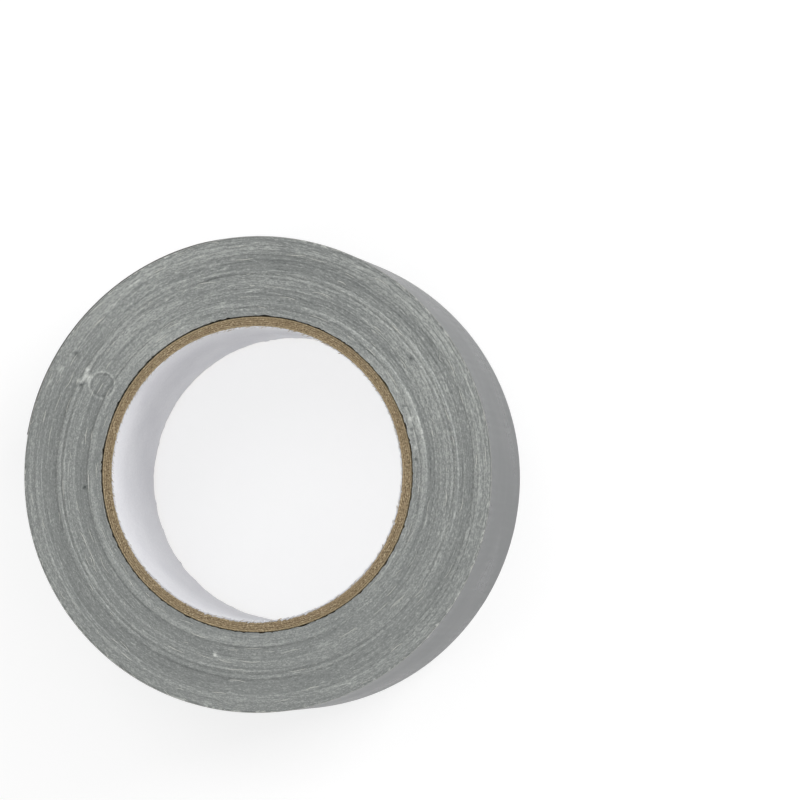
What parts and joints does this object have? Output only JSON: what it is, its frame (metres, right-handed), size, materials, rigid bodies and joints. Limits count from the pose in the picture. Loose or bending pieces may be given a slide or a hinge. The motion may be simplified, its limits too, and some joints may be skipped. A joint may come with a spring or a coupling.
{
  "type": "duct tape roll",
  "caption": "Roll of silver cloth-backed duct tape on a paper-lined board core, with a free end that peels off the outside and a separator sheet under it.",
  "frame": {"origin": "centre of the side face that the roll rests on, at the underside of the separator sheet", "axes": "+Z along the roll's axis, up from the face it rests on; the free end leaves the roll at 98 degrees round from +X towards +Y"},
  "size_m": [0.1236, 0.1236, 0.0505],
  "materials": {
    "white_paper": "satin paper lining, seamed along a helix",
    "core_board": "brown core board, fibrous at the cut ends",
    "tape_edges": "fine turns of tape seen edge on, with pale cloth fibres",
    "adhesive": "tacky, pale grey",
    "scrim": "open weave of thin yarns",
    "silver_film": "glossy silver-grey polyethylene, with the weave showing faintly",
    "separator_film": "smooth translucent pale grey sheet"
  },
  "bodies": {
    "roll": {"core_liner": "white_paper", "core_ply_1": "core_board", "core_ply_2": "core_board", "core_ply_3": "core_board", "core_ply_4": "core_board", "core_ply_5": "core_board", "wound_tape": "tape_edges", "last_turn_adhesive": "adhesive", "last_turn_scrim": "scrim", "last_turn_film": "silver_film", "separator_disc": "separator_film"},
    "tail_root": {"tail_root_adhesive": "adhesive", "tail_root_scrim": "scrim", "tail_root_film": "silver_film"},
    "tail_middle": {"tail_middle_adhesive": "adhesive", "tail_middle_scrim": "scrim", "tail_middle_film": "silver_film"},
    "tail_tip": {"tail_tip_adhesive": "adhesive", "tail_tip_scrim": "scrim", "tail_tip_film": "silver_film"}
  },
  "joints": [
    {"name": "tail_root_peel", "type": "hinge", "parent": "roll", "child": "tail_root", "pos_m": [-0.00862, 0.06136, 0.02532], "axis": [0, 0, -1], "range_deg": [0, 60]},
    {"name": "tail_middle_peel", "type": "hinge", "parent": "tail_root", "child": "tail_middle", "pos_m": [-0.03287, 0.05253, 0.02532], "axis": [0, 0, -1], "range_deg": [0, 60]},
    {"name": "tail_tip_peel", "type": "hinge", "parent": "tail_middle", "child": "tail_tip", "pos_m": [-0.05142, 0.03458, 0.02532], "axis": [0, 0, -1], "range_deg": [0, 60]}
  ]
}
